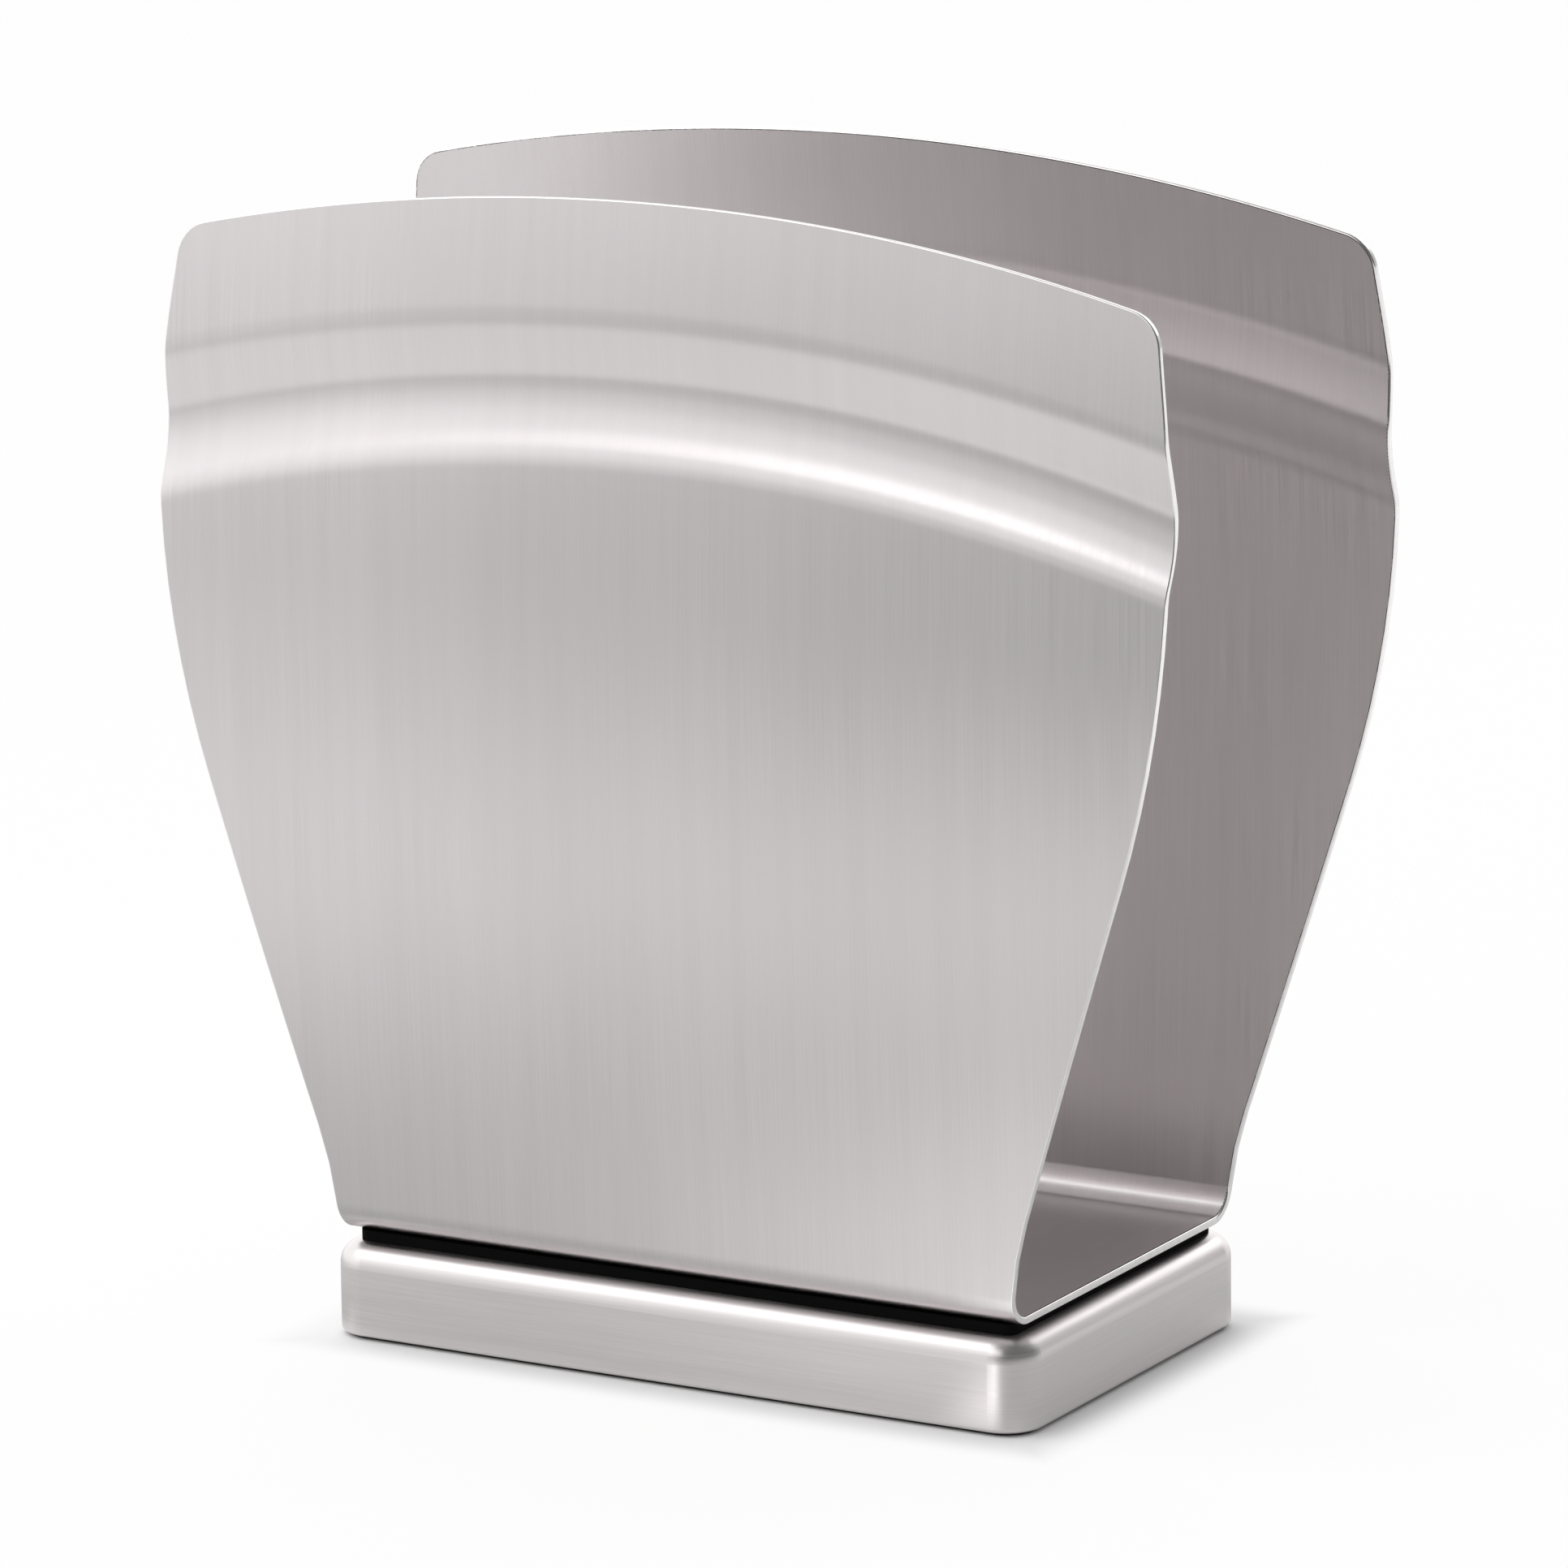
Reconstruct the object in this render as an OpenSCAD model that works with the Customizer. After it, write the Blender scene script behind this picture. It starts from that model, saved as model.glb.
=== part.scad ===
// Fan-shaped napkin holder: a bent steel cradle on a weighted steel base.
// Lengths are in millimetres. The holder stands on z = 0, with x along its width
// and y through its depth, from the front panel (-y) to the rear panel (+y).

/* [Overall] */
// Height from the table to the crown of the panels
overall_height = 149; // [140:1:165]

/* [Base shell] */
// Width of the base
base_width = 100; // [92:1:120]
// Depth of the base
base_depth = 59; // [54:1:72]
// Height of the shell from its rim to its top
shell_height = 11.8; // [10.8:0.1:14]
// Corner radius of the shell, seen from above
shell_corner = 5; // [4:0.5:9]
// Radius of the rounded upper edge of the shell
shell_edge = 3; // [1.5:0.25:3.5]
// Radius of the rounded outer edge at the foot of the shell
shell_rim = 0.6; // [0.2:0.1:0.6]
// Sheet thickness of the shell
shell_sheet = 0.8; // [0.6:0.1:1.2]

/* [Underside] */
// Thickness of the rubber pad
pad_thickness = 2; // [1.25:0.25:3]
// How far the pad stands out below the rim of the shell
pad_reveal = 0.4; // [0.4:0.1:1]
// Gap around the ballast block and the pad inside the shell
fill_clearance = 0.3; // [0.1:0.05:0.6]
// Iron left above the nut pockets of the ballast block
ballast_web = 3; // [2:0.25:3.5]
// Diameter of the nut pockets
pocket_diameter = 12; // [10.5:0.5:16]

/* [Spacer] */
// Height of the black spacer between base and cradle
spacer_height = 1.4; // [1.4:0.1:4]
// How far the spacer is set in from the edge of the base
spacer_inset = 3; // [3:0.5:8]
// Corner radius of the spacer
spacer_corner = 1.5; // [1:0.5:5]

/* [Cradle] */
// Sheet thickness of the cradle
sheet = 1; // [0.8:0.1:1.5]
// Width of the cradle at its floor
floor_width = 96.6; // [90:0.2:110]
// Outside depth of the cradle at its widest level
cradle_depth = 63; // [58:1:74]
// Inside radius of the bends between floor and panels
bend_radius = 3.5; // [2:0.25:6]
// Height of the widest level above the underside of the floor
belly_height = 78.5; // [65:0.5:84]
// Bow radius of the panels below the widest level
lower_bow_radius = 1200; // [800:10:2400]
// Bow radius of the panels above the widest level
upper_bow_radius = 400; // [300:10:900]

/* [Fan outline] */
// Greatest width of the panels
fan_width = 142; // [132:1:150]
// Distance from the top edge down to the level of the greatest width
shoulder_drop = 36; // [30:0.5:44]
// Radius of the hollow curve where the flare starts
foot_radius = 45; // [30:1:70]
// Radius of the shoulder at the greatest width
shoulder_radius = 137; // [100:1:150]
// Inward angle of the sides above the shoulder
taper_angle = 7.7; // [5:0.1:9]
// Radius of the two upper corners
corner_radius = 5; // [3:0.5:10]
// Radius of the arched top edge
crown_radius = 292; // [220:1:400]

/* [Groove] */
// Distance from the top edge down to the upper crease of the groove
groove_drop = 14.2; // [10:0.1:20]
// Depth of the groove
groove_depth = 2; // [1.75:0.05:2.5]
// Tilt of the long upper wall of the groove
groove_upper_angle = 14.2; // [10:0.1:15]
// Tilt of the short lower wall of the groove
groove_lower_angle = 22; // [20:0.5:25]
// Radius of the upper crease of the groove
upper_crease_radius = 4; // [2:0.5:4]
// Radius of the groove's floor where the upper wall meets it
upper_floor_radius = 8; // [6:0.5:14]
// Radius of the groove's floor where the lower wall meets it
lower_floor_radius = 16; // [8:0.5:16]
// Radius of the lower crease of the groove
lower_crease_radius = 8; // [4:0.5:8]

/* [Fasteners] */
// Distance between the two studs
stud_spacing = 56; // [40:1:64]
// Diameter of the studs
stud_diameter = 4; // [3:0.5:4]
// Diameter of the weld flange on each stud
flange_diameter = 5.5; // [4.5:0.25:7]
// Thickness of the weld flange
flange_thickness = 0.8; // [0.6:0.1:1.2]
// Gap around the studs in the holes that they pass through
stud_clearance = 0.25; // [0.1:0.05:0.5]
// Gap between the studs and the bores of nuts and washers
thread_clearance = 0.05; // [0.02:0.01:0.1]
// Width across the flats of the nuts
nut_across = 7; // [6:0.25:7.5]
// Height of the nuts
nut_height = 3.2; // [2.2:0.1:3.2]
// Diameter of the flat washers
washer_diameter = 9; // [7.5:0.5:9.5]
// Thickness of the flat washers
washer_thickness = 0.8; // [0.5:0.1:1]
// Diameter of the spring washers
spring_diameter = 7.6; // [6.5:0.1:8]
// Thickness of the spring washers
spring_thickness = 0.9; // [0.6:0.1:1]
// Opening angle of the split in the spring washers
spring_split_angle = 14; // [6:1:24]
// Length of each stud below its nut
stud_end = 0.6; // [0.2:0.1:0.7]

/* [Hidden] */
// Extra length by which cuts and trimmed sheets run past a face
overrun = 3;
// Facets of small and of large circles
round_facets = 64;
bow_facets = 720;
// Facets of each bend and bow, of each stretch of the fan outline, and the turn of one facet in the groove
bend_steps = 8;
bow_steps = 8;
outline_steps = 12;
crown_steps = 24;
groove_step_angle = 6.25;
// Largest part of the room for them that the curves of the fan outline and of the groove take up
curve_fill_share = 0.9;
// Part of the sheet's thickness in which the pressed ridge is rooted
ridge_root_share = 0.5;
// Slope with which the groove runs out where the panel stands proud of it, and its rise in parts of the sheet
runout_angle = 6;
runout_rise_share = 0.4;
// Corners of a nut
nut_sides = 6;

steel_color = [0.76, 0.75, 0.75];
zinc_color = [0.68, 0.69, 0.71];
iron_color = [0.27, 0.27, 0.28];
rubber_color = [0.06, 0.06, 0.06];

// Levels from the table upwards
base_top = pad_reveal + shell_height;
shell_ceiling = base_top - shell_sheet;
pocket_ceiling = shell_ceiling - ballast_web;
floor_level = base_top + spacer_height;
belly_level = floor_level + belly_height;
washer_level = pocket_ceiling - washer_thickness;
spring_level = washer_level - spring_thickness;
nut_level = spring_level - nut_height;
stud_level = nut_level - stud_end;

// Room inside the shell, and what fits in it
room_width = base_width - 2 * shell_sheet;
room_depth = base_depth - 2 * shell_sheet;
room_corner = shell_corner - shell_sheet;
room_edge = shell_edge - shell_sheet;
fill_width = room_width - 2 * fill_clearance;
fill_depth = room_depth - 2 * fill_clearance;
fill_corner = room_corner - fill_clearance;

// Section of the cradle in the y-z plane: bend, lower bow and upper bow, each tangent to the next
bend_outside = bend_radius + sheet;
bend_level = floor_level + bend_outside;
lower_bow_centre = [cradle_depth / 2 - lower_bow_radius, belly_level];
upper_bow_centre = [cradle_depth / 2 - upper_bow_radius, belly_level];
bend_reach = sqrt(pow(lower_bow_radius - bend_outside, 2) - pow(belly_level - bend_level, 2));
bend_centre = [lower_bow_centre.x + bend_reach, bend_level];
bend_end_angle = atan2(bend_level - belly_level, bend_reach);
crown_angle = asin((overall_height - belly_level) / upper_bow_radius);
sheet_end_angle = asin((overall_height + overrun - belly_level) / upper_bow_radius);
strip_width = fan_width + 2 * overrun;

function arc_points(centre, radius, from, to, steps, first = 0) =
    [for (i = [first : steps]) let (a = from + (to - from) * i / steps) centre + radius * [cos(a), sin(a)]];
function reversed(points) = [for (i = [len(points) - 1 : -1 : 0]) points[i]];
function mirrored(points) = [for (p = points) [-p.x, p.y]];
function last(points) = points[len(points) - 1];

// One face of the sheet from the floor to the top, set in from the outer face
function panel_face(inset) = concat(
    arc_points(bend_centre, bend_outside - inset, -90, bend_end_angle, bend_steps),
    arc_points(lower_bow_centre, lower_bow_radius - inset, bend_end_angle, 0, bow_steps, 1),
    arc_points(upper_bow_centre, upper_bow_radius - inset, 0, sheet_end_angle, bow_steps, 1));
panel_section = concat(panel_face(0), reversed(panel_face(sheet)));
strip_section = concat(panel_section, mirrored(reversed(panel_section)));

// Fan outline in the x-z plane: foot curve, flare, shoulder, taper, corner and crown
floor_half = floor_width / 2;
fan_half = fan_width / 2;
crown_centre = [0, overall_height - crown_radius];
crown_sag = crown_radius - sqrt(pow(crown_radius, 2) - pow(fan_half, 2));
shoulder_level = overall_height - shoulder_drop;

// The flare is the straight line between foot and shoulder curve, which shrink if they leave no room for it
flare_run = fan_half - floor_half;
flare_rise = shoulder_level - floor_level;
flare_room = (pow(flare_run, 2) + pow(flare_rise, 2)) / (2 * flare_run);
flare_fit_share = min(1, curve_fill_share * flare_room / (foot_radius + shoulder_radius));
foot_curve = foot_radius * flare_fit_share;
shoulder_curve = shoulder_radius * flare_fit_share;
foot_centre = [floor_half + foot_curve, floor_level];
shoulder_centre = [fan_half - shoulder_curve, shoulder_level];
flare_angle = atan2(flare_rise, foot_centre.x - shoulder_centre.x)
            - acos((foot_curve + shoulder_curve) / norm(foot_centre - shoulder_centre));

// Above the shoulder the sides curve in to the taper, which the corners join to the crown
taper_curve = min(shoulder_radius, (shoulder_drop - crown_sag - corner_radius) / sin(taper_angle));
taper_centre = [fan_half - taper_curve, shoulder_level];
taper_normal = [cos(taper_angle), sin(taper_angle)];
taper_run = [-sin(taper_angle), cos(taper_angle)];
corner_from = taper_centre + (taper_curve - corner_radius) * taper_normal - crown_centre;
corner_along = corner_from * taper_run;
corner_slide = sqrt(pow(corner_along, 2) + pow(crown_radius - corner_radius, 2) - corner_from * corner_from)
             - corner_along;
corner_centre = crown_centre + corner_from + corner_slide * taper_run;
corner_end_angle = atan2(corner_centre.y - crown_centre.y, corner_centre.x);

fan_side = concat(
    [[floor_half, floor_level - overrun]],
    arc_points(foot_centre, foot_curve, 180, 180 - flare_angle, outline_steps),
    arc_points(shoulder_centre, shoulder_curve, -flare_angle, 0, outline_steps),
    arc_points(taper_centre, taper_curve, 0, taper_angle, outline_steps, 1),
    arc_points(corner_centre, corner_radius, taper_angle, corner_end_angle, outline_steps),
    arc_points(crown_centre, crown_radius, corner_end_angle, 90, crown_steps, 1));
fan_outline = concat(fan_side, mirrored([for (i = [len(fan_side) - 2 : -1 : 0]) fan_side[i]]));

// Section of the groove as [distance below the top edge, depth]: crease, wall, floor, wall, crease
function turn(start, radius, from, to, first = 0) =
    let (way = sign(to - from), steps = max(1, round(abs(to - from) / groove_step_angle)))
    [for (i = [first : steps]) let (a = from + (to - from) * i / steps)
        start + way * radius * [sin(a) - sin(from), cos(from) - cos(a)]];

// The crease and the floor at each end of a wall shrink if they leave no room for it
function rounding_fit_share(tilt, rounding) =
    min(1, curve_fill_share * groove_depth / (1 - cos(tilt)) / rounding);
function wall_length(tilt, rounding) = (groove_depth - rounding * (1 - cos(tilt))) / sin(tilt);

upper_fit_share = rounding_fit_share(groove_upper_angle, upper_crease_radius + upper_floor_radius);
upper_crease_curve = upper_crease_radius * upper_fit_share;
upper_floor_curve = upper_floor_radius * upper_fit_share;
upper_wall = wall_length(groove_upper_angle, upper_crease_curve + upper_floor_curve);
lower_fit_share = rounding_fit_share(groove_lower_angle, lower_crease_radius + lower_floor_radius);
lower_crease_curve = lower_crease_radius * lower_fit_share;
lower_floor_curve = lower_floor_radius * lower_fit_share;
lower_wall = wall_length(groove_lower_angle, lower_crease_curve + lower_floor_curve);

upper_crease = turn([groove_drop, 0], upper_crease_curve, 0, groove_upper_angle);
floor_start = last(upper_crease) + upper_wall * [cos(groove_upper_angle), sin(groove_upper_angle)];
upper_floor = turn(floor_start, upper_floor_curve, groove_upper_angle, 0);
lower_floor = turn(last(upper_floor), lower_floor_curve, 0, -groove_lower_angle, 1);
crease_start = last(lower_floor) + lower_wall * [cos(groove_lower_angle), -sin(groove_lower_angle)];
lower_crease = turn(crease_start, lower_crease_curve, -groove_lower_angle, 0);
groove_end = last(lower_crease).x;
runout_rise = sheet * runout_rise_share;
runout_length = runout_rise / tan(runout_angle);
groove_section = concat(
    [[groove_drop - runout_length, -runout_rise]],
    upper_crease, upper_floor, lower_floor, lower_crease,
    [[groove_end + runout_length, -runout_rise]]);

// The groove turns about an axis square to the panel, through the centre of the crown's arch
ring_drop = (groove_drop + groove_end + crown_sag) / 2;
ring_tilt = crown_angle - ring_drop / upper_bow_radius * 180 / PI;
ring_out = [cos(ring_tilt), sin(ring_tilt)];
ring_up = [-sin(ring_tilt), cos(ring_tilt)];
ring_centre = upper_bow_centre + upper_bow_radius * ring_out - (crown_radius - ring_drop) * ring_up;
ring_half_angle = asin((fan_half + overrun) / (crown_radius - groove_end));

function on_bow(point) =
    let (a = crown_angle - point.x / upper_bow_radius * 180 / PI)
    upper_bow_centre + (upper_bow_radius - point.y) * [cos(a), sin(a)];
function on_ring(point) =
    let (offset_from_axis = on_bow(point) - ring_centre)
    [offset_from_axis * ring_up, offset_from_axis * ring_out];
function deeper(points, step) = [for (p = points) p + [0, step]];
function closed_at(points, depth) =
    concat(points, [[last(points).x, depth], [points[0].x, depth]]);

// Strip bent into a U, before it is trimmed to the fan outline
module bent_strip() {
    rotate([90, 0, 90])
        linear_extrude(strip_width, center = true)
            polygon(strip_section);
}

// Arched ring on both panels, from a section given as [distance below the top edge, depth]
module arched_ring(section) {
    for (side = [0, 1])
        mirror([0, side, 0])
            translate([0, ring_centre.x, ring_centre.y])
                rotate([ring_tilt, 0, 0])
                    rotate([0, -90, -90])
                        rotate_extrude(angle = 2 * ring_half_angle, start = -ring_half_angle,
                                       $fn = bow_facets)
                            polygon([for (p = section) on_ring(p)]);
}

module fan_prism() {
    rotate([90, 0, 0])
        linear_extrude(cradle_depth + 2 * overrun, center = true)
            polygon(fan_outline);
}

module cradle() {
    color(steel_color)
        difference() {
            intersection() {
                union() {
                    bent_strip();
                    arched_ring(closed_at(deeper(groove_section, sheet), sheet * ridge_root_share));
                }
                fan_prism();
            }
            arched_ring(closed_at(groove_section, -overrun));
        }
}

// What a rounding takes off a corner that points to +x and +y, with its centre at the origin
module corner_waste(radius) {
    difference() {
        square(radius + overrun);
        circle(radius, $fn = round_facets);
    }
}

// Radial section of a block from its corner axis outwards, with the upper and the lower edge rounded
module edge_section(run, height, edge, rim) {
    difference() {
        square([run, height]);
        if (edge > 0)
            translate([run - edge, height - edge])
                corner_waste(edge);
        if (rim > 0)
            translate([run - rim, rim])
                mirror([0, 1])
                    corner_waste(rim);
    }
}

// Block on z = 0 with rounded corners, a rounded upper edge and a rounded rim
module rounded_block(width, depth, height, corner, edge, rim = 0) {
    core_width = width - 2 * corner;
    core_depth = depth - 2 * corner;
    translate([-core_width / 2, -core_depth / 2, 0])
        cube([core_width, core_depth, height]);
    for (side = [0, 1]) {
        mirror([side, 0, 0])
            translate([core_width / 2, 0, 0])
                rotate([90, 0, 0])
                    linear_extrude(core_depth, center = true)
                        edge_section(corner, height, edge, rim);
        mirror([0, side, 0])
            translate([0, core_depth / 2, 0])
                rotate([90, 0, 90])
                    linear_extrude(core_width, center = true)
                        edge_section(corner, height, edge, rim);
        for (end = [0, 1])
            mirror([side, 0, 0])
                mirror([0, end, 0])
                    translate([core_width / 2, core_depth / 2, 0])
                        rotate_extrude(angle = 90, $fn = round_facets)
                            edge_section(corner, height, edge, rim);
    }
}

// Places its children at the two studs
module at_studs() {
    for (side = [-1, 1])
        translate([side * stud_spacing / 2, 0, 0])
            children();
}

module disc(diameter, from, to) {
    translate([0, 0, from])
        cylinder(d = diameter, h = to - from, $fn = round_facets);
}

module spacer() {
    color(rubber_color)
        difference() {
            translate([0, 0, base_top])
                rounded_block(base_width - 2 * spacer_inset, base_depth - 2 * spacer_inset,
                              spacer_height, spacer_corner, 0);
            at_studs() disc(flange_diameter + 2 * stud_clearance, base_top - overrun, floor_level + overrun);
        }
}

module base_shell() {
    color(steel_color)
        difference() {
            translate([0, 0, pad_reveal])
                rounded_block(base_width, base_depth, shell_height, shell_corner, shell_edge, shell_rim);
            translate([0, 0, pad_reveal - overrun])
                rounded_block(room_width, room_depth, shell_ceiling - pad_reveal + overrun,
                              room_corner, room_edge);
            at_studs() disc(stud_diameter + 2 * stud_clearance, shell_ceiling - overrun, base_top + overrun);
        }
}

module ballast_block() {
    color(iron_color)
        difference() {
            translate([0, 0, pad_thickness])
                rounded_block(fill_width, fill_depth, shell_ceiling - pad_thickness, fill_corner, room_edge);
            at_studs() {
                disc(stud_diameter + 2 * stud_clearance, pad_thickness, shell_ceiling + overrun);
                disc(pocket_diameter, pad_thickness - overrun, pocket_ceiling);
            }
        }
}

module bottom_pad() {
    color(rubber_color)
        rounded_block(fill_width, fill_depth, pad_thickness, fill_corner, 0);
}

module weld_studs() {
    color(zinc_color)
        at_studs() {
            disc(stud_diameter, stud_level, floor_level);
            disc(flange_diameter, floor_level - flange_thickness, floor_level);
        }
}

module flat_washers() {
    color(zinc_color)
        at_studs()
            difference() {
                disc(washer_diameter, washer_level, pocket_ceiling);
                disc(stud_diameter + 2 * thread_clearance, washer_level - overrun, pocket_ceiling + overrun);
            }
}

module spring_washers() {
    bore_radius = stud_diameter / 2 + thread_clearance;
    color(zinc_color)
        at_studs()
            translate([0, 0, spring_level])
                rotate_extrude(angle = 360 - spring_split_angle, $fn = round_facets)
                    translate([bore_radius, 0])
                        square([spring_diameter / 2 - bore_radius, spring_thickness]);
}

module hex_nuts() {
    color(zinc_color)
        at_studs()
            difference() {
                translate([0, 0, nut_level])
                    cylinder(d = nut_across / cos(180 / nut_sides), h = nut_height, $fn = nut_sides);
                disc(stud_diameter + 2 * thread_clearance, nut_level - overrun, spring_level + overrun);
            }
}

cradle();
spacer();
base_shell();
ballast_block();
bottom_pad();
weld_studs();
flat_washers();
spring_washers();
hex_nuts();
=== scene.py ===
# Looks of a fan-shaped napkin holder in brushed steel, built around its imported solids.
import math

import bpy
import numpy as np
from mathutils import Matrix, Vector


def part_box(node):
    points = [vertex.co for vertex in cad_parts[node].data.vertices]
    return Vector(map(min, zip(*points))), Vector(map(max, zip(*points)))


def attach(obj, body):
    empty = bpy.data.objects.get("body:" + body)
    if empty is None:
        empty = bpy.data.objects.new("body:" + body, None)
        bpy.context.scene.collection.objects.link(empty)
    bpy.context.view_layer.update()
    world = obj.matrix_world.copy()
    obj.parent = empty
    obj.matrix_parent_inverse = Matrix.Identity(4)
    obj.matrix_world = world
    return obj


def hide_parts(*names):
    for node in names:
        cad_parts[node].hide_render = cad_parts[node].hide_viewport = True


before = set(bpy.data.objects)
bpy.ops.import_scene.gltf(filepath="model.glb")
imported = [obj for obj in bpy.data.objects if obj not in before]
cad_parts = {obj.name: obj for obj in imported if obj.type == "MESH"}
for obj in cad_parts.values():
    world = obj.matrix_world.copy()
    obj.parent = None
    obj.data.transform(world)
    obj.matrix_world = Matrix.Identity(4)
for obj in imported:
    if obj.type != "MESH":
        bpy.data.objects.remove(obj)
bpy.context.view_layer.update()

MM = 0.001

# Sizes of the bent sheet, in metres: what its solid's box doesn't say
SHEET_THICKNESS = 1.0 * MM
CRADLE_FLOOR_HALF = 48.3 * MM
BEND_INSIDE = 3.5 * MM
BELLY_HEIGHT = 78.5 * MM
LOWER_BOW = 1200.0 * MM
UPPER_BOW = 400.0 * MM
SHOULDER_DROP = 36.0 * MM
FOOT_RADIUS = 45.0 * MM
SHOULDER_RADIUS = 137.0 * MM
TAPER = math.radians(7.7)
CORNER_RADIUS = 5.0 * MM
CROWN_RADIUS = 292.0 * MM

# Sizes of the pressed groove, whose upper crease is softer than the solid's, by at most 0.06 mm
GROOVE_DROP = 13.2 * MM
GROOVE_DEPTH = 2.0 * MM
GROOVE_UPPER_TILT = math.radians(14.2)
GROOVE_LOWER_TILT = math.radians(22.0)
UPPER_CREASE_RADIUS = 12.0 * MM
UPPER_FLOOR_RADIUS = 8.0 * MM
LOWER_FLOOR_RADIUS = 16.0 * MM
LOWER_CREASE_RADIUS = 8.0 * MM

# Rounding of the sheet's cut edge towards its outer and towards its inner face
EDGE_OUTSIDE = 0.2 * MM
EDGE_INSIDE = 0.3 * MM
EDGE_ARC_STEPS = 5

# Painted shade: the floor between the bends is made darker than the panels, standing in for the shade down
# between them: how far along the sheet from its middle, and how dark
PAINTED_SHADE_INSIDE_SPAN = (23.0 * MM, 30.0 * MM)
PAINTED_SHADE_INSIDE_SHARE = 0.58

# How finely the sheet and the groove's section are divided, and how far the groove's rows go beyond it
CORNER_STEPS = 8
CROWN_STEPS = 44
CAP_STEPS = 7
GROOVE_STEPS = 52
PANEL_STEPS = 18
BEND_STEPS = 12
CRADLE_FLOOR_STEPS = 8
PROFILE_STEPS = 40
GROOVE_MARGIN = 2.0 * MM

# Name of the sheet's map: across the sheet, and along it round the bends
GRAIN_MAP = "grain"

# The photograph's camera: place in metres, angles in degrees, focal length in pixels of its square frame
CAMERA_PLACE = (0.6567, -1.1470, 0.3898)
CAMERA_AZIMUTH = 29.77
CAMERA_ELEVATION = 13.57
CAMERA_ROLL = -0.68
CAMERA_FOCAL = 13407.0
PHOTO_SIDE = 1932.0
SENSOR_WIDTH = 36.0
CAMERA_CLIP = (0.01, 100.0)

# What follows from these sizes and from the box of the cradle
cradle_low, cradle_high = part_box("cradle")
FAN_HALF = cradle_high.x
HALF_DEPTH = cradle_high.y
CRADLE_FLOOR_LEVEL = cradle_low.z
CROWN_LEVEL = cradle_high.z
BELLY_LEVEL = CRADLE_FLOOR_LEVEL + BELLY_HEIGHT
SHOULDER_LEVEL = CROWN_LEVEL - SHOULDER_DROP
BEND_OUTSIDE = BEND_INSIDE + SHEET_THICKNESS
BEND_LEVEL = CRADLE_FLOOR_LEVEL + BEND_OUTSIDE
BEND_REACH = math.sqrt((LOWER_BOW - BEND_OUTSIDE) ** 2 - (BELLY_LEVEL - BEND_LEVEL) ** 2)
BEND_DEPTH = HALF_DEPTH - LOWER_BOW + BEND_REACH
BEND_END = math.atan2(BEND_LEVEL - BELLY_LEVEL, BEND_REACH)
PANEL_LOW = BEND_LEVEL + BEND_OUTSIDE * math.sin(BEND_END)


def fall(radius, distance):
    """How far a circle has fallen away from its tangent at a distance along that tangent."""
    return radius - np.sqrt(radius ** 2 - distance ** 2)


class FanOutline:
    """Outline of the panels in the x-z plane, set in by a given distance."""

    def __init__(self, inset):
        self.floor_half = CRADLE_FLOOR_HALF - inset
        self.fan_half = FAN_HALF - inset
        self.foot = FOOT_RADIUS + inset
        self.shoulder = SHOULDER_RADIUS - inset
        self.crown = CROWN_RADIUS - inset
        self.corner = CORNER_RADIUS - inset
        self.crown_centre = CROWN_LEVEL - CROWN_RADIUS
        across = self.floor_half + self.foot - self.fan_half + self.shoulder
        rise = SHOULDER_LEVEL - CRADLE_FLOOR_LEVEL
        ratio = (self.foot + self.shoulder) / math.hypot(across, rise)
        self.flare = math.atan2(rise, across) - math.acos(ratio)
        self.flare_low = CRADLE_FLOOR_LEVEL + self.foot * math.sin(self.flare)
        self.flare_high = SHOULDER_LEVEL - self.shoulder * math.sin(self.flare)
        self.taper_low = SHOULDER_LEVEL + self.shoulder * math.sin(TAPER)

    def half_width(self, level):
        """Half of the panel's width at a level: foot curve, straight flare, shoulder curve and taper."""
        level = np.asarray(level, float)
        foot_rise = np.clip(level - CRADLE_FLOOR_LEVEL, 0, self.flare_low - CRADLE_FLOOR_LEVEL)
        foot = self.floor_half + fall(self.foot, foot_rise)
        shoulder_at = np.clip(level, self.flare_high, self.taper_low) - SHOULDER_LEVEL
        shoulder = self.fan_half - fall(self.shoulder, shoulder_at)
        flare = (level - self.flare_low) * math.tan(self.flare)
        taper = np.maximum(level - self.taper_low, 0) * math.tan(TAPER)
        return np.where(level < self.flare_high, foot + np.maximum(flare, 0), shoulder - taper)

    def crown_level(self, x):
        """Level of the crown's arc, without the corners."""
        return self.crown_centre + np.sqrt(self.crown ** 2 - np.asarray(x, float) ** 2)

    def top_edge(self):
        """Points of the top edge from one side to the other, corners included."""
        normal = np.array([math.cos(TAPER), math.sin(TAPER)])
        run = np.array([-math.sin(TAPER), math.cos(TAPER)])
        start = np.array([self.fan_half - self.shoulder, SHOULDER_LEVEL - self.crown_centre])
        start = start + (self.shoulder - self.corner) * normal
        along = start @ run
        slide = math.sqrt(along ** 2 + (self.crown - self.corner) ** 2 - start @ start) - along
        centre = start + slide * run
        end = math.atan2(centre[1], centre[0])
        corner_angles = np.linspace(TAPER, end, CORNER_STEPS + 1)
        corner = centre + self.corner * np.stack([np.cos(corner_angles), np.sin(corner_angles)], 1)
        crown_angles = np.linspace(end, math.pi - end, CROWN_STEPS + 1)[1:-1]
        crown = self.crown * np.stack([np.cos(crown_angles), np.sin(crown_angles)], 1)
        mirrored = corner[::-1] * np.array([-1.0, 1.0])
        points = np.concatenate([corner, crown, mirrored])
        return points[::-1] + np.array([0.0, self.crown_centre])


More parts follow.
